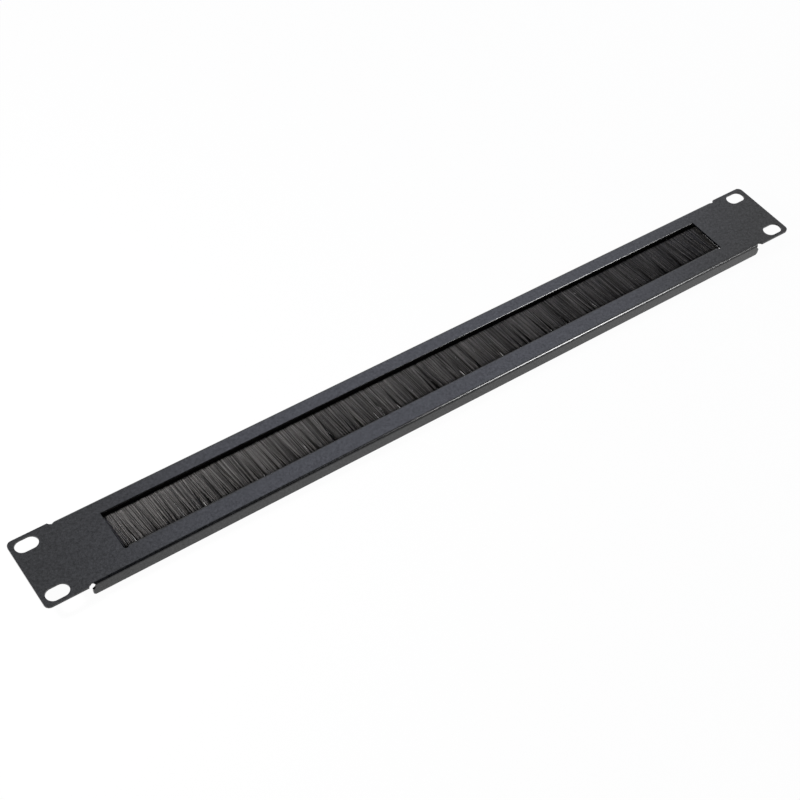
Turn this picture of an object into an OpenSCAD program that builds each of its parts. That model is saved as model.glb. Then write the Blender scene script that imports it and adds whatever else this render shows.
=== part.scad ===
// Brush panel for a 19-inch rack, one unit high.
// It lies face up on the edges of its long flanges, with the origin in the middle between them.
// X runs along the panel, +Y points to the side that carries the brush, +Z is the panel's front.

/* [Face plate] */
// Overall length across both ears
panel_w = 482; // [477:0.5:486]
// Height of the face across an ear
panel_h = 43; // [42:0.25:46]
// Thickness of the steel sheet
sheet_t = 1.2; // [0.8:0.1:1.5]
// Radius of the ears' outer corners
ear_corner_r = 3; // [1:0.5:4]

/* [Rack slots] */
// Distance from a slot's centre to the end of its ear
slot_to_end = 8.45; // [7.5:0.05:9.5]
// Distance from a slot's centre to the side edge of its ear
slot_to_edge = 5.625; // [5.25:0.125:6.5]
// Length of a slot, end to end
slot_len = 12; // [9:0.5:13]
// Width of a slot
slot_w = 7.8; // [6:0.1:8]

/* [Folds] */
// Depth of a long flange, from the front face to its edge
flange_d = 8.3; // [7.8:0.1:16]
// Length of a long flange
flange_len = 434.5; // [424:0.5:438]
// How far a flange's outer face lies inside the edge of the ears
flange_inset = 0.1; // [0.1:0.1:1]
// Inner radius of every bend
bend_r = 0.4; // [0.2:0.1:0.6]
// Radius of the relief hole at each end of a flange
relief_r = 1.8; // [1.2:0.1:2]
// Width of the slit between a bend's end and the flat sheet
slit_w = 0.3; // [0.2:0.1:0.5]
// Size of the bevel at a flange's lower corners
flange_corner = 1; // [0.5:0.5:2]

/* [Window] */
// Length of the window
window_w = 390.5; // [380:0.5:396]
// Clear height of the window, from its far edge to the lip
window_h = 22.75; // [18:0.05:23]
// Width of the strip of sheet between the window and the far edge of an ear
far_strip = 8.35; // [8:0.05:9.5]
// Depth of the lip folded back along the near edge, from the front face
lip_d = 5; // [3:0.5:7]
// Radius of the relief hole at each end of the lip
lip_relief_r = 1.3; // [1:0.1:1.6]
// How far a lip's relief hole reaches past the start of its bend
lip_relief_bite = 0.3; // [0.2:0.1:0.6]
// Bevel along the far edge of the window
edge_break = 0.15; // [0.1:0.05:0.4]

/* [Brush] */
// Width of the steel channel, across its legs
channel_w = 4; // [3.6:0.1:4.2]
// Depth of the steel channel, from its round back to its mouth
channel_d = 4.1; // [4:0.1:4.4]
// Thickness of the channel's strip
channel_t = 0.5; // [0.3:0.1:0.6]
// How far each leg is pressed in at the mouth
crimp = 0.25; // [0.1:0.05:0.3]
// Length of the pressed part of a leg
crimp_len = 1; // [0.6:0.1:1]
// Diameter of the wire that the filaments are folded round
wire_d = 1.5; // [1.2:0.1:1.6]
// How far the brush reaches under the sheet beyond each end of the window
brush_over = 2.5; // [0.5:0.5:8]
// Distance from the filaments' tips to the lip
tip_gap = 1; // [0.6:0.1:3]
// Spacing of the filament bundles along the brush
bundle_pitch = 1.55; // [1.4:0.1:1.8]
// Gap between neighbouring bundles where they leave the channel
bundle_gap = 0.06; // [0.04:0.01:0.12]
// Angle by which each row of bundles spreads from the middle
fan = 1.4; // [0.5:0.1:2]
// Sideways lean that all tips share
lean = 1; // [0:0.1:1.2]
// Sideways sway of the tips, as long waves
long_sway = 0.8; // [0.2:0.1:1]
// Sideways sway of the tips, as short waves
short_sway = 0.3; // [0.1:0.05:0.4]
// How much the tips differ in length
tip_scatter = 0.3; // [0.1:0.05:0.5]

/* [Rail] */
// Length that the rail runs past each end of the brush
rail_over = 3; // [1:0.5:4]
// Thickness of the rail's back, which the screws bite into
rail_back_t = 2.4; // [2.2:0.1:2.6]
// Thickness of each jaw of the rail
jaw_t = 0.8; // [0.6:0.1:0.9]
// How far each jaw hooks over the pressed leg of the channel
hook = 0.15; // [0.1:0.05:0.2]
// Length of a hook
hook_len = 0.5; // [0.3:0.1:0.6]

/* [Rail screws] */
// How many screws hold the rail
screw_count = 5; // [3:1:7]
// Distance between neighbouring screws
screw_spacing = 90; // [40:0.5:94]
// Diameter of a screw's thread
screw_d = 3; // [2.5:0.1:3]
// Diameter of a screw's countersunk head
screw_head_d = 5.4; // [5:0.1:5.5]
// Length of a screw, head included
screw_len = 3; // [2.6:0.1:3.2]
// Distance from the front face back to the screws' axis
screw_drop = 4.4; // [4.3:0.1:4.6]
// Size of the cross in a screw's head, tip to tip
cross_w = 2.6; // [2:0.1:3]
// Width of the cross's arms
cross_t = 0.6; // [0.4:0.1:0.8]
// Depth of the cross
cross_d = 0.8; // [0.4:0.1:1]

/* [Fits] */
// Gap between the rail's upper jaw and the sheet
rail_gap = 0.1; // [0.05:0.05:0.2]
// Slack round the channel in the rail
channel_gap = 0.05; // [0.03:0.01:0.1]
// Slack round the filaments in the channel, and round the wire in them
pack_gap = 0.05; // [0.03:0.01:0.1]
// Slack round a screw
screw_gap = 0.05; // [0.03:0.01:0.1]

/* [Hidden] */
$fn = 48;
sides = [-1, 1];
past = 1;                                     // a cutter runs this far past what it cuts

// Sheet
bend_outer_r = bend_r + sheet_t;
sheet_back_z = flange_d - sheet_t;
flange_face_y = panel_h / 2 - flange_inset;
flange_inner_y = flange_face_y - sheet_t;
bend_line_y = flange_face_y - bend_outer_r;
bend_arc = PI / 2 * (bend_r + sheet_t / 2);
ear_x = flange_len / 2 + slit_w;              // where the full height of an ear starts
slot_x = panel_w / 2 - slot_to_end;
slot_y = panel_h / 2 - slot_to_edge;
relief_x = flange_len / 2 + slit_w / 2;
relief_y = panel_h / 2 + relief_r / 4;        // before the bend, the hole crosses the blank's edge
relief_z = flange_d - bend_outer_r - (relief_y - bend_line_y - bend_arc);

// Window
window_far_y = panel_h / 2 - far_strip;
lip_face_y = window_far_y - window_h;
lip_line_y = lip_face_y - bend_outer_r;
lip_relief_x = window_w / 2 - lip_relief_r;
lip_relief_y = lip_line_y - lip_relief_bite + lip_relief_r;
lip_len = window_w - 4 * lip_relief_r;

// Rail and brush
brush_len = window_w + 2 * brush_over;
rail_len = brush_len + 2 * rail_over;
rail_top_z = sheet_back_z - rail_gap;
rail_h = 2 * jaw_t + channel_w + 2 * channel_gap;
brush_z = rail_top_z - rail_h / 2;
groove_y = flange_inner_y - rail_back_t;      // bottom of the rail's groove
channel_back_y = groove_y - channel_gap;
channel_r = channel_w / 2;
channel_y = channel_back_y - channel_r;       // centre of the channel's round back
mouth_y = channel_back_y - channel_d;
rail_front_y = mouth_y - channel_gap;
pack_r = channel_r - channel_t - pack_gap;    // half the thickness of the packed filaments
mouth_half = pack_r - crimp;
root_y = mouth_y + crimp_len;                 // the packed filaments end where the mouth narrows
tip_y = lip_face_y + tip_gap;

// Bundles
row_gap = 0.2;                                // between the upper and the lower row
row_t = mouth_half - row_gap / 2;
root_overlap = (channel_y - wire_d / 2 - pack_gap - root_y) / 2;     // a row's back edge is buried in them
long_wave = 31;
short_wave = 11.3;
end_ease = 25;                                // the sway dies out over this length at each end
sway_rate = 2 * PI * (long_sway / long_wave + short_sway / short_wave)
    + (lean + long_sway + short_sway) / end_ease;
bundle_count = floor(brush_len / bundle_pitch - 1 / 2);
root_w = bundle_pitch - bundle_gap;
tip_w = bundle_pitch * (1 - sway_rate) - bundle_gap;
scatter_step = 137.5;                         // degrees, so that neighbouring tips differ

// Screws
screw_z = flange_d - screw_drop;
screw_r = screw_d / 2;
head_r = screw_head_d / 2;
head_h = head_r - screw_r;                    // a 90 degree cone
screw_x = [for (i = [0 : screw_count - 1]) (i - (screw_count - 1) / 2) * screw_spacing];

// Turns a section drawn in Y and Z into a bar along X.
module along_x(len) rotate([90, 0, 90]) linear_extrude(height = len, center = true) children();

// Section of a fold: the sheet comes from -Y, turns down, and its outer face ends up at face_y.
module fold_section(face_y, depth) {
    translate([face_y - bend_outer_r, flange_d - bend_outer_r]) intersection() {
        difference() {
            circle(bend_outer_r);
            circle(bend_r);
        }
        square(bend_outer_r + past);
    }
    translate([face_y - sheet_t, flange_d - depth]) square([sheet_t, depth - bend_outer_r]);
}

module slot() {
    square([slot_len - slot_w, slot_w], center = true);
    for (s = sides) translate([s * (slot_len - slot_w) / 2, 0]) circle(d = slot_w);
}

module ear(side) {
    ear_w = panel_w / 2 - ear_x;
    mid_x = side * (ear_x + (ear_w - ear_corner_r) / 2);
    translate([mid_x, 0]) square([ear_w - ear_corner_r, panel_h], center = true);
    translate([side * (ear_x + ear_w / 2), 0]) square([ear_w, panel_h - 2 * ear_corner_r], center = true);
    corner_x = side * (panel_w / 2 - ear_corner_r);
    for (s = sides) translate([corner_x, s * (panel_h / 2 - ear_corner_r)]) circle(ear_corner_r);
}

module window() {
    clear_h = window_far_y - lip_relief_y;
    translate([0, lip_relief_y + clear_h / 2]) square([window_w, clear_h], center = true);
    translate([0, lip_line_y + window_h / 2]) square([2 * lip_relief_x, window_h], center = true);
    for (s = sides) translate([s * lip_relief_x, lip_relief_y]) circle(lip_relief_r);
}

// The sheet's flat part, seen from the front.
module flat_sheet() {
    difference() {
        union() {
            square([2 * ear_x, 2 * bend_line_y], center = true);
            for (s = sides) ear(s);
        }
        window();
        for (x = sides, y = sides) {
            translate([x * slot_x, y * slot_y]) slot();
            translate([x * relief_x, y * relief_y]) circle(relief_r);
        }
    }
}

// A flange along +Y, with its lower corners bevelled.
module flange() {
    difference() {
        along_x(flange_len) fold_section(flange_face_y, flange_d);
        for (s = sides) {
            translate([s * flange_len / 2, flange_face_y, 0]) rotate([0, 45, 0])
                cube([flange_corner * sqrt(2), 4 * sheet_t, flange_corner * sqrt(2)], center = true);
            translate([s * relief_x, relief_y, relief_z]) cylinder(r = relief_r, h = flange_d);
            translate([s * relief_x, flange_face_y + past, relief_z]) rotate([90, 0, 0])
                cylinder(r = relief_r, h = sheet_t + 2 * past);
        }
    }
}

// Cuts that put a screw's hole and countersink through the far flange.
module screw_holes() {
    for (x = screw_x) translate([x, flange_face_y, screw_z]) rotate([90, 0, 0]) {
        translate([0, 0, -past]) cylinder(r = head_r + screw_gap, h = past);
        cylinder(r1 = head_r + screw_gap, r2 = screw_r + screw_gap, h = head_h);
        cylinder(r = screw_r + screw_gap, h = sheet_t + rail_back_t + past);
    }
}

// One folded sheet: face, ears, two long flanges and the lip that keeps cables off the cut edge.
module front_panel() {
    color("#3f4145") difference() {
        union() {
            translate([0, 0, sheet_back_z]) linear_extrude(height = sheet_t) flat_sheet();
            flange();
            mirror([0, 1, 0]) flange();
            along_x(lip_len) fold_section(lip_face_y, lip_d);
        }
        screw_holes();
        along_x(window_w) polygon([
            [window_far_y - past, flange_d - edge_break - past],
            [window_far_y + edge_break + past, flange_d + past],
            [window_far_y - past, flange_d + past]]);
    }
}

// Extruded rail behind the window's far edge: a groove that takes the brush, and a back for the screws.
module brush_rail() {
    groove_h = channel_w + 2 * channel_gap;
    rail_mouth = channel_w - 2 * crimp - 2 * hook;
    color("#26272a") difference() {
        along_x(rail_len) difference() {
            translate([rail_front_y - hook_len, rail_top_z - rail_h])
                square([flange_inner_y - rail_front_y + hook_len, rail_h]);
            translate([rail_front_y - hook_len - past, brush_z - rail_mouth / 2])
                square([hook_len + 2 * past, rail_mouth]);
            translate([rail_front_y, brush_z - groove_h / 2]) square([groove_y - rail_front_y, groove_h]);
            translate([flange_inner_y, rail_top_z]) rotate(45) square(2 * bend_r, center = true);
        }
        screw_holes();
    }
}

// Half of the channel's section above its middle: a round back, a straight leg and a pressed mouth.
module channel_half() {
    intersection() {
        difference() {
            circle(channel_r);
            circle(channel_r - channel_t);
        }
        square(channel_r + past);
    }
    leg = channel_y - mouth_y;
    straight = leg - crimp_len;
    polygon([
        [0, channel_r - channel_t],
        [0, channel_r],
        [-straight, channel_r],
        [-leg, channel_r - crimp],
        [-leg, channel_r - channel_t - crimp],
        [-straight, channel_r - channel_t]]);
}

module brush_channel() {
    color("#1d1e20") along_x(brush_len) translate([channel_y, brush_z]) {
        channel_half();
        mirror([0, 1]) channel_half();
    }
}

module core_wire() {
    color("#8d9094") translate([0, channel_y, brush_z]) rotate([0, 90, 0])
        cylinder(d = wire_d, h = brush_len, center = true);
}

function ease(x) = min(1, (brush_len / 2 - abs(x)) / end_ease);
function sway(x) = ease(x) * (lean + long_sway * sin(360 * x / long_wave)
    + short_sway * sin(360 * x / short_wave));
function scatter(i) = tip_scatter * sin(scatter_step * i * i);

// One bundle's corners, from the mouth to its tip and back.
function bundle(x, i) = [
    [x - root_w / 2, mouth_y],
    [x + sway(x) - tip_w / 2, tip_y + scatter(i)],
    [x + sway(x) + tip_w / 2, tip_y + scatter(i + 1 / 2)],
    [x + root_w / 2, mouth_y]];

// One row of bundles, as a comb whose back edge is held in the channel.
module bundle_row(shift) {
    first = -(bundle_count - 1) / 2;
    xs = [for (i = [0 : bundle_count - 1]) (first + i + shift) * bundle_pitch];
    teeth = [for (i = [0 : bundle_count - 1]) each bundle(xs[i], i)];
    back_y = root_y + root_overlap;
    half = root_w / 2;
    linear_extrude(height = row_t) polygon(concat(
        [[xs[0] - half, back_y]],
        teeth,
        [[xs[bundle_count - 1] + half, back_y]]));
}

// The filaments: folded round the wire, packed in the channel, and spread in two rows beyond it.
module bristles() {
    color("#45433f") {
        along_x(brush_len) translate([channel_y, brush_z]) difference() {
            union() {
                intersection() {
                    circle(pack_r);
                    translate([0, -pack_r]) square([pack_r, 2 * pack_r]);
                }
                translate([root_y - channel_y, -pack_r]) square([channel_y - root_y, 2 * pack_r]);
            }
            circle(wire_d / 2 + pack_gap);
        }
        for (s = sides)
            translate([0, root_y, brush_z]) rotate([-s * fan, 0, 0])
                translate([0, -root_y, s > 0 ? row_gap / 2 : -row_gap / 2 - row_t]) bundle_row(s / 4);
    }
}

// Countersunk screws through the far flange into the rail.
module rail_screws() {
    color("#8b8e93") for (x = screw_x)
        translate([x, flange_face_y, screw_z]) rotate([90, 0, 0]) difference() {
            union() {
                cylinder(r1 = head_r, r2 = screw_r, h = head_h);
                cylinder(r = screw_r, h = screw_len);
            }
            for (turn = [0, 90]) rotate(turn) cube([cross_w, cross_t, 2 * cross_d], center = true);
        }
}

front_panel();
brush_rail();
brush_channel();
core_wire();
bristles();
rail_screws();
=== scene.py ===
import bpy
import math
import random
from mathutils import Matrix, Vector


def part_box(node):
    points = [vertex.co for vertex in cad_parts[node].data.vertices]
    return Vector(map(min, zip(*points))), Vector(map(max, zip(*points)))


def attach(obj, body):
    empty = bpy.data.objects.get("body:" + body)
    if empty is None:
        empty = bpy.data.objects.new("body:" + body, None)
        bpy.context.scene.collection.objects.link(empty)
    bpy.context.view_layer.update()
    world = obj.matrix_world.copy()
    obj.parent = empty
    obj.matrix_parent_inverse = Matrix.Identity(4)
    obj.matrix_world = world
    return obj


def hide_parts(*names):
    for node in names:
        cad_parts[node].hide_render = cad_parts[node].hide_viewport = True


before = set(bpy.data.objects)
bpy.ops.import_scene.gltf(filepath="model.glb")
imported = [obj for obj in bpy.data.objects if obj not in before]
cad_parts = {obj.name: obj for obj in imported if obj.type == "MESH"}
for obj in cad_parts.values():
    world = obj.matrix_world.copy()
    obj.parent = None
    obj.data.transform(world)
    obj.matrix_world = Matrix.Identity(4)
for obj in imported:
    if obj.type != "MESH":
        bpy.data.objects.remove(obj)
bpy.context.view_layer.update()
print("panel loaded")


cameraView = {"place": (-0.35075, -0.39106, 0.60021), "turn": (40.079, -3.708, -35.316),
              "lens": 66.835, "sensor": 36, "clipStart": 0.01}


def placeCamera(view):
    bpy.ops.object.camera_add(location=view["place"], rotation=[math.radians(a) for a in view["turn"]])
    camera = bpy.context.object
    camera.data.lens = view["lens"]
    camera.data.sensor_width = view["sensor"]
    camera.data.clip_start = view["clipStart"]
    bpy.context.scene.camera = camera


bpy.ops.object.select_all(action="DESELECT")
placeCamera(cameraView)
print("camera placed")


def addNode(tree, kind, **values):
    node = tree.nodes.new(kind)
    for key, value in values.items():
        if hasattr(node, key):
            setattr(node, key, value)
        else:
            node.inputs[key.replace("_", " ")].default_value = value
    return node


grainShape = {"fineDetail": 3.0, "cloudDetail": 4.0, "height": 0.0001}


# fine grain and soft clouds, shared by the tone, roughness, gloss and height of every finish
def makeGrainGroup(values):
    group = bpy.data.node_groups.new("Grain", "ShaderNodeTree")
    for name, value in (("Fine Scale", 1000.0), ("Cloud Scale", 60.0), ("Stretch", 1.0), ("Lean", 0.0),
                        ("Tone Change", 0.1), ("Roughness", 0.4), ("Roughness Change", 0.1)):
        group.interface.new_socket(name, in_out="INPUT", socket_type="NodeSocketFloat").default_value = value
    group.interface.new_socket("Colour", in_out="INPUT", socket_type="NodeSocketColor")
    group.interface.new_socket("Colour", in_out="OUTPUT", socket_type="NodeSocketColor")
    group.interface.new_socket("Roughness", in_out="OUTPUT", socket_type="NodeSocketFloat")
    group.interface.new_socket("Height", in_out="OUTPUT", socket_type="NodeSocketFloat")
    group.interface.new_socket("Grain", in_out="OUTPUT", socket_type="NodeSocketFloat")
    link = group.links.new
    start = addNode(group, "NodeGroupInput")
    end = addNode(group, "NodeGroupOutput")
    place = addNode(group, "ShaderNodeTexCoord")
    axes = addNode(group, "ShaderNodeSeparateXYZ")
    link(place.outputs["Object"], axes.inputs["Vector"])
    slant = addNode(group, "ShaderNodeMath", operation="MULTIPLY_ADD")      # streaks run along Y and lean in X
    link(axes.outputs["Y"], slant.inputs[0])
    link(start.outputs["Lean"], slant.inputs[1])
    link(axes.outputs["X"], slant.inputs[2])
    squeeze = addNode(group, "ShaderNodeMath", operation="MULTIPLY")
    link(axes.outputs["Y"], squeeze.inputs[0])
    link(start.outputs["Stretch"], squeeze.inputs[1])
    along = addNode(group, "ShaderNodeCombineXYZ")
    link(slant.outputs["Value"], along.inputs["X"])
    link(squeeze.outputs["Value"], along.inputs["Y"])
    link(axes.outputs["Z"], along.inputs["Z"])
    fine = addNode(group, "ShaderNodeTexNoise", Detail=values["fineDetail"])
    cloud = addNode(group, "ShaderNodeTexNoise", Detail=values["cloudDetail"])
    for noise, scale in ((fine, "Fine Scale"), (cloud, "Cloud Scale")):
        link(along.outputs["Vector"], noise.inputs["Vector"])
        link(start.outputs[scale], noise.inputs["Scale"])
    both = addNode(group, "ShaderNodeMath", operation="ADD")
    link(fine.outputs["Fac"], both.inputs[0])
    link(cloud.outputs["Fac"], both.inputs[1])
    centred = addNode(group, "ShaderNodeMath", operation="SUBTRACT")
    centred.inputs[1].default_value = 1.0                      # each noise is about a half
    link(both.outputs["Value"], centred.inputs[0])
    shade = addNode(group, "ShaderNodeMath", operation="MULTIPLY_ADD")
    shade.inputs[2].default_value = 1.0
    link(centred.outputs["Value"], shade.inputs[0])
    link(start.outputs["Tone Change"], shade.inputs[1])
    tint = addNode(group, "ShaderNodeVectorMath", operation="SCALE")
    link(start.outputs["Colour"], tint.inputs[0])
    link(shade.outputs["Value"], tint.inputs["Scale"])
    link(tint.outputs["Vector"], end.inputs["Colour"])
    dull = addNode(group, "ShaderNodeMath", operation="MULTIPLY_ADD")
    link(centred.outputs["Value"], dull.inputs[0])
    link(start.outputs["Roughness Change"], dull.inputs[1])
    link(start.outputs["Roughness"], dull.inputs[2])
    link(dull.outputs["Value"], end.inputs["Roughness"])
    link(fine.outputs["Fac"], end.inputs["Height"])
    link(centred.outputs["Value"], end.inputs["Grain"])
    return group


grainGroup = makeGrainGroup(grainShape)


def makeFinish(name, values):
    material = bpy.data.materials.new(name)
    material.use_nodes = True
    tree = material.node_tree
    shader = tree.nodes["Principled BSDF"]
    grain = addNode(tree, "ShaderNodeGroup", node_tree=grainGroup)
    grain.inputs["Colour"].default_value = (*values["colour"], 1)
    for socket, key in (("Fine Scale", "fineScale"), ("Cloud Scale", "cloudScale"), ("Stretch", "stretch"),
                        ("Lean", "lean"), ("Tone Change", "toneChange"), ("Roughness", "roughness"),
                        ("Roughness Change", "roughnessChange")):
        grain.inputs[socket].default_value = values[key]
    tree.links.new(grain.outputs["Colour"], shader.inputs["Base Color"])
    tree.links.new(grain.outputs["Roughness"], shader.inputs["Roughness"])
    if values["bump"]:
        bump = addNode(tree, "ShaderNodeBump", Strength=values["bump"], Distance=grainShape["height"])
        tree.links.new(grain.outputs["Height"], bump.inputs["Height"])
        tree.links.new(bump.outputs["Normal"], shader.inputs["Normal"])
    gloss = addNode(tree, "ShaderNodeMath", operation="MULTIPLY_ADD")
    tree.links.new(grain.outputs["Grain"], gloss.inputs[0])
    gloss.inputs[1].default_value = values["shine"] * values["shineChange"]
    gloss.inputs[2].default_value = values["shine"]
    tree.links.new(gloss.outputs["Value"], shader.inputs["Specular IOR Level"])
    shader.inputs["Metallic"].default_value = values["metal"]
    return material


powderCoat = {"colour": (0.0019, 0.0023, 0.0035), "fineScale": 1900, "cloudScale": 700, "stretch": 1, "lean": 0,
              "toneChange": 1.5, "roughness": 0.22, "roughnessChange": 0.08, "bump": 0.03, "metal": 0,
              "shine": 0.45, "shineChange": 1.2}
# the rail is black, and its colour is set near nothing so that it also paints the deep shade in the band under
# the window's far edge
railFinish = {"colour": (0.0008, 0.0008, 0.0009), "fineScale": 900, "cloudScale": 60, "stretch": 12, "lean": 0,
              "toneChange": 0.3, "roughness": 0.42, "roughnessChange": 0.1, "bump": 0.1, "metal": 0,
              "shine": 0.08, "shineChange": 0.3}
zincFinish = {"colour": (0.48, 0.49, 0.50), "fineScale": 600, "cloudScale": 120, "stretch": 1, "lean": 0,
              "toneChange": 0.3, "roughness": 0.36, "roughnessChange": 0.2, "bump": 0.1, "metal": 1,
              "shine": 0.5, "shineChange": 0.3}
wireFinish = {"colour": (0.42, 0.42, 0.42), "fineScale": 900, "cloudScale": 80, "stretch": 8, "lean": 0,
              "toneChange": 0.3, "roughness": 0.30, "roughnessChange": 0.2, "bump": 0.1, "metal": 1,
              "shine": 0.5, "shineChange": 0.3}
screwFinish = {"colour": (0.006, 0.006, 0.0065), "fineScale": 1500, "cloudScale": 200, "stretch": 1, "lean": 0,
               "toneChange": 0.5, "roughness": 0.34, "roughnessChange": 0.2, "bump": 0.1, "metal": 0,
               "shine": 0.6, "shineChange": 0.3}
# the nylon's strong streaked grain gives the filaments tones that differ at random, and partly paints the
# differing sheen of the strands
nylon = {"colour": (0.110, 0.107, 0.106), "fineScale": 2600, "cloudScale": 1600, "stretch": 0.01, "lean": 0.065,
         "toneChange": 1.8, "roughness": 0.60, "roughnessChange": 0.2, "bump": 0, "metal": 0,
         "shine": 0.05, "shineChange": 1.0, "tipChange": 1.8, "rootChange": 1.0,
         # the deep, tip, end and root values paint shade into the brush
         "deepPaintedShade": 0.05, "deepFrom": -0.0001, "deepTo": 0.0006, "deepFall": 0.03,
         "tipPaintedShade": 0.50, "endPaintedShade": 0.6, "endFrom": 0.0008, "endTo": 0.0024,
         "rootPaintedShade": 0.08, "rootFrom": 0.0127, "rootTo": 0.0119}


def dressNode(node, values):
    finish = makeFinish(node + "Finish", values)
    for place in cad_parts[node].material_slots:
        place.material = finish


dressNode("front_panel", powderCoat)
dressNode("brush_rail", railFinish)
dressNode("brush_channel", zincFinish)
dressNode("core_wire", wireFinish)
dressNode("rail_screws", screwFinish)
print("sheet, rail, channel, wire and screws finished")


# painted shade in the brush: tone and gloss fall with depth, towards the tips, at the cut ends and at the roots
def makeNylon(values):
    material = makeFinish("nylonFinish", values)
    tree = material.node_tree
    shader = tree.nodes["Principled BSDF"]
    low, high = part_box("bristles")
    place = addNode(tree, "ShaderNodeTexCoord")
    axes = addNode(tree, "ShaderNodeSeparateXYZ")
    tree.links.new(place.outputs["Object"], axes.inputs["Vector"])
    offset = addNode(tree, "ShaderNodeMath", operation="SUBTRACT")
    tree.links.new(axes.outputs["Z"], offset.inputs[0])
    offset.inputs[1].default_value = (low.z + high.z) / 2
    distance = addNode(tree, "ShaderNodeMath", operation="ABSOLUTE")
    tree.links.new(offset.outputs["Value"], distance.inputs[0])
    depth = addNode(tree, "ShaderNodeMath", operation="MULTIPLY_ADD")
    tree.links.new(axes.outputs["Y"], depth.inputs[0])
    depth.inputs[1].default_value = values["deepFall"]
    tree.links.new(distance.outputs["Value"], depth.inputs[2])
    # every filament has a tone of its own, at random, which also paints the differing sheen of the strands; the
    # tones part towards the tips
    strand = addNode(tree, "ShaderNodeNewGeometry")
    centred = addNode(tree, "ShaderNodeMath", operation="SUBTRACT")
    tree.links.new(strand.outputs["Random Per Island"], centred.inputs[0])
    centred.inputs[1].default_value = 0.5
    change = addNode(tree, "ShaderNodeMapRange", From_Min=low.y, From_Max=high.y,
                     To_Min=values["tipChange"], To_Max=values["rootChange"])
    tree.links.new(axes.outputs["Y"], change.inputs["Value"])
    own = addNode(tree, "ShaderNodeMath", operation="MULTIPLY_ADD")
    tree.links.new(centred.outputs["Value"], own.inputs[0])
    tree.links.new(change.outputs["Result"], own.inputs[1])
    own.inputs[2].default_value = 1
    # light starts as each filament's own tone and then takes on the painted shade
    light = own.outputs["Value"]
    for source, start, end, first, last in (
            # painted shade inside the brush, darkest in the middle of its depth
            (depth.outputs["Value"], values["deepFrom"], values["deepTo"], values["deepPaintedShade"], 1),
            # painted shade, darker towards the tips
            (axes.outputs["Y"], low.y, high.y, values["tipPaintedShade"], 1),
            # painted shade just before the cut ends, by the lip
            (axes.outputs["Y"], low.y + values["endFrom"], low.y + values["endTo"], values["endPaintedShade"], 1),
            # painted shade at the roots, under the window's far edge
            (axes.outputs["Y"], values["rootFrom"], values["rootTo"], values["rootPaintedShade"], 1)):
        fade = addNode(tree, "ShaderNodeMapRange", From_Min=start, From_Max=end, To_Min=first, To_Max=last)
        tree.links.new(source, fade.inputs["Value"])
        both = addNode(tree, "ShaderNodeMath", operation="MULTIPLY")
        tree.links.new(light, both.inputs[0])
        tree.links.new(fade.outputs["Result"], both.inputs[1])
        light = both.outputs["Value"]
    tone = addNode(tree, "ShaderNodeVectorMath", operation="SCALE")
    tree.links.new(shader.inputs["Base Color"].links[0].from_socket, tone.inputs[0])
    tree.links.new(light, tone.inputs["Scale"])
    tree.links.new(tone.outputs["Vector"], shader.inputs["Base Color"])
    # the painted shade dims the gloss as well
    gloss = addNode(tree, "ShaderNodeMath", operation="MULTIPLY")
    tree.links.new(shader.inputs["Specular IOR Level"].links[0].from_socket, gloss.inputs[0])
    tree.links.new(light, gloss.inputs[1])
    tree.links.new(gloss.outputs["Value"], shader.inputs["Specular IOR Level"])
    return material


# loose filaments in layers, rooted in the channel and gathered into clumps towards their tips
filaments = {"seed": 7, "endRoom": 0.0002, "endEase": 0.012, "rootDepth": 0.0006, "halfMouth": 0.00108,
             "clumpWidth": (0.0009, 0.0050), "clumpLean": 0.0005, "clumpCut": 0.0001, "gather": 0.32,
             "lean": 0.0013, "ownLean": 0.00017, "bow": 1.2, "ownRise": 0.00016,
             "spread": 0.42, "spreadCurve": 0.4, "tipInset": 0.0003, "tipScatter": 0.0003,
             "tipReach": 0.0008, "steps": 5,
             "layers": ({"count": 3000, "thick": 0.00022, "loose": 0},
                        {"count": 3000, "thick": 0.00022, "loose": 0.3},
                        {"count": 2600, "thick": 0.00022, "loose": 0.8},
                        {"count": 2200, "thick": 0.00022, "loose": 0.9},
                        {"count": 1500, "thick": 0.00025, "loose": 1})}


# one pattern of clumps through the whole depth, so that dark wedges open between them
def makeClumps(left, right, values, dice):
    clumps = []
    while left < right:
        edge = min(left + dice.uniform(*values["clumpWidth"]), right)
        clumps.append({"left": left, "right": edge, "lean": dice.gauss(0, values["clumpLean"]),
                       "gather": dice.uniform(0, 2 * values["gather"]),
                       "cut": dice.gauss(0, values["clumpCut"])})
        left = edge
    return clumps


def filamentPath(rootX, clump, roots, values, dice):
    middle = (clump["left"] + clump["right"]) / 2
    height = dice.uniform(roots["low"], roots["high"])
    ease = min(1, (roots["reach"] - abs(rootX)) / values["endEase"])      # straight at the brush's ends
    lean = values["lean"] + roots["loose"] * clump["lean"] + dice.gauss(0, values["ownLean"])
    shift = lean * ease - roots["loose"] * (rootX - middle) * clump["gather"]
    tipY = roots["tipY"] + clump["cut"] + dice.gauss(0, values["tipScatter"])
    tipY = max(tipY, roots["tipY"] - values["tipReach"])                  # clear of the lip
    rise = dice.gauss(0, values["ownRise"])
    path = []
    for step in range(values["steps"]):
        part = step / (values["steps"] - 1)
        bow = part ** values["bow"]
        fan = 1 + values["spread"] * part ** values["spreadCurve"]
        path.extend((rootX + shift * bow,
                     roots["rootY"] + (tipY - roots["rootY"]) * part,
                     roots["rootZ"] + height * fan + rise * bow, 1))
    return path


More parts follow.
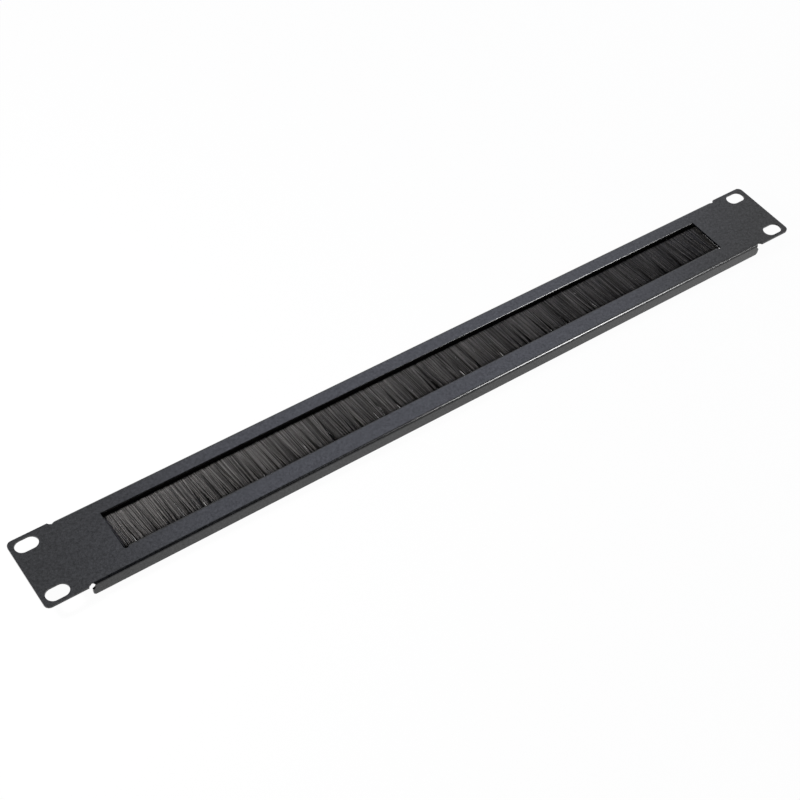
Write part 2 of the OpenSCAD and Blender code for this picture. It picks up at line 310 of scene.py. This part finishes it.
def buildFilaments(name, clumps, share, roots, values, dice):
    strands = bpy.data.curves.new(name, "CURVE")
    strands.dimensions = "3D"
    strands.bevel_depth = roots["thick"] / 2
    strands.bevel_resolution = 0
    strands.use_fill_caps = True
    for clump in clumps:
        width = clump["right"] - clump["left"]
        many = max(1, round(share * width))
        for number in range(many):
            rootX = clump["left"] + width * (number + dice.random()) / many
            strand = strands.splines.new("POLY")
            strand.points.add(values["steps"] - 1)
            strand.points.foreach_set("co", filamentPath(rootX, clump, roots, values, dice))
    piece = bpy.data.objects.new(name, strands)
    bpy.context.collection.objects.link(piece)
    bpy.ops.object.select_all(action="DESELECT")
    piece.select_set(True)
    bpy.context.view_layer.objects.active = piece
    bpy.ops.object.convert(target="MESH")
    bpy.ops.object.shade_smooth()
    return bpy.context.object


def addFilaments(values):
    dice = random.Random(values["seed"])
    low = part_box("bristles")[0]
    back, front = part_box("brush_channel")
    left, right = back.x + values["endRoom"], front.x - values["endRoom"]
    halfMouth = values["halfMouth"]                            # just inside the channel's mouth
    nylonFinish = makeNylon(nylon)
    clumps = makeClumps(left, right, values, dice)
    layerDepth = 2 * halfMouth / len(values["layers"])
    for number, layer in enumerate(values["layers"]):
        roots = {"rootY": back.y + values["rootDepth"], "rootZ": (back.z + front.z) / 2,
                 "tipY": low.y + values["tipInset"], "reach": right,
                 "loose": layer["loose"], "thick": layer["thick"],
                 "low": layerDepth * number - halfMouth, "high": layerDepth * (number + 1) - halfMouth}
        share = layer["count"] / (right - left)
        piece = buildFilaments(f"filaments_{number + 1}", clumps, share, roots, values, dice)
        piece.data.materials.clear()
        piece.data.materials.append(nylonFinish)
        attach(piece, "root")
        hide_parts("bristles")
        print(f"filament layer {number + 1}: {len(piece.data.polygons)} faces")


addFilaments(filaments)


# floor, lamps and world
studio = {"floorColour": (0.9, 0.9, 0.9), "floorRoughness": 0.9, "floorSize": 30, "floorDrop": 0.00005,
          "floorGlow": 0.97, "ambient": 0.16,
          "key": {"place": (0.66, 0.80, 1.25), "size": (0.80, 1.0), "watts": 10.1,
                  "gloss": 0.31, "glintPlace": 0.99, "colour": (0.71, 0.76, 1)},
          "side": {"place": (-0.40, 0.13, 0.27), "size": (0.08, 0.08), "watts": 2.34,
                   "gloss": 0.31, "glintPlace": 0.99, "colour": (1, 0.975, 0.94)},
          "strip": {"place": (0.437, -0.415, 0.455), "size": (0.17, 0.30), "watts": 7.2, "colour": (1, 1, 1)},
          "flag": {"left": -0.2, "right": 0.62, "away": 1.3, "height": 2.6, "tilt": 45,
                   "colour": (0.01, 0.01, 0.01), "roughness": 1.0}}


def addLamp(name, values):
    bpy.ops.object.light_add(type="AREA", location=values["place"])
    lamp = bpy.context.object
    lamp.name = name
    lamp.data.shape = "RECTANGLE"
    lamp.data.size, lamp.data.size_y = values["size"]
    lamp.data.energy = values["watts"]
    lamp.data.color = values["colour"]
    lamp.rotation_euler = lamp.location.to_track_quat("Z", "Y").to_euler()
    return lamp


# one lamp for the light on the piece, and a weaker one just before it for its glint in the gloss
def addSoftLight(name, values):
    addLamp(name + "Light", values).visible_glossy = False
    glint = addLamp(name + "Glint", values)
    glint.location *= values["glintPlace"]
    glint.data.energy = values["watts"] * values["gloss"]
    glint.visible_diffuse = False


# a dark card that only reflections show, as a studio flag
def addFlag(values):
    tilt = math.radians(values["tilt"])
    bpy.ops.object.select_all(action="DESELECT")
    middle = (values["left"] + values["right"]) / 2
    place = (middle, -values["away"] * math.sin(tilt), values["away"] * math.cos(tilt))
    bpy.ops.mesh.primitive_plane_add(size=1, rotation=(tilt, 0, 0), location=place)
    flag = bpy.context.object
    flag.name = "flag"
    flag.scale = (values["right"] - values["left"], values["height"], 1)
    bpy.ops.object.transform_apply(location=True, rotation=True, scale=True)
    felt = bpy.data.materials.new("flagFelt")
    felt.use_nodes = True
    shader = felt.node_tree.nodes["Principled BSDF"]
    shader.inputs["Base Color"].default_value = (*values["colour"], 1)
    shader.inputs["Roughness"].default_value = values["roughness"]
    flag.data.materials.append(felt)
    flag.visible_camera = False
    flag.visible_diffuse = False
    flag.visible_shadow = False
    flag.visible_transmission = False


# 1 for what the camera, the gloss and clear things see, 0 for the light that falls on surfaces
def seenRays(tree):
    path = addNode(tree, "ShaderNodeLightPath")
    first = addNode(tree, "ShaderNodeMath", operation="MAXIMUM")
    second = addNode(tree, "ShaderNodeMath", operation="MAXIMUM")
    tree.links.new(path.outputs["Is Camera Ray"], first.inputs[0])
    tree.links.new(path.outputs["Is Glossy Ray"], first.inputs[1])
    tree.links.new(first.outputs["Value"], second.inputs[0])
    tree.links.new(path.outputs["Is Transmission Ray"], second.inputs[1])
    return second


def addStudio(values):
    bpy.ops.object.select_all(action="DESELECT")
    bpy.ops.mesh.primitive_plane_add(size=values["floorSize"], location=(0, 0, -values["floorDrop"]))
    floor = bpy.context.object
    floor.name = "floor"
    paper = bpy.data.materials.new("floorPaper")
    paper.use_nodes = True
    tree = paper.node_tree
    shader = tree.nodes["Principled BSDF"]
    shader.inputs["Base Color"].default_value = (*values["floorColour"], 1)
    shader.inputs["Roughness"].default_value = values["floorRoughness"]
    glow = addNode(tree, "ShaderNodeEmission", Color=(1, 1, 1, 1), Strength=1.0)
    share = addNode(tree, "ShaderNodeMath", operation="MULTIPLY")
    share.inputs[1].default_value = values["floorGlow"]
    tree.links.new(seenRays(tree).outputs["Value"], share.inputs[0])
    mix = addNode(tree, "ShaderNodeMixShader")
    tree.links.new(share.outputs["Value"], mix.inputs["Fac"])
    tree.links.new(shader.outputs["BSDF"], mix.inputs[1])
    tree.links.new(glow.outputs["Emission"], mix.inputs[2])
    tree.links.new(mix.outputs["Shader"], tree.nodes["Material Output"].inputs["Surface"])
    floor.data.materials.append(paper)
    addSoftLight("key", values["key"])
    addLamp("stripLamp", values["strip"]).visible_diffuse = False      # seen only in the gloss of the folds
    addSoftLight("side", values["side"])
    addFlag(values["flag"])
    world = bpy.context.scene.world or bpy.data.worlds.new("World")
    bpy.context.scene.world = world
    world.use_nodes = True
    air = world.node_tree
    sky = air.nodes["Background"]
    blend = addNode(air, "ShaderNodeMix", data_type="FLOAT")
    blend.inputs["A"].default_value = values["ambient"]
    blend.inputs["B"].default_value = 1.0
    air.links.new(seenRays(air).outputs["Value"], blend.inputs["Factor"])
    sky.inputs["Color"].default_value = (1, 1, 1, 1)
    air.links.new(blend.outputs["Result"], sky.inputs["Strength"])


addStudio(studio)
bpy.context.scene.view_settings.view_transform = "Standard"
print("studio lit")
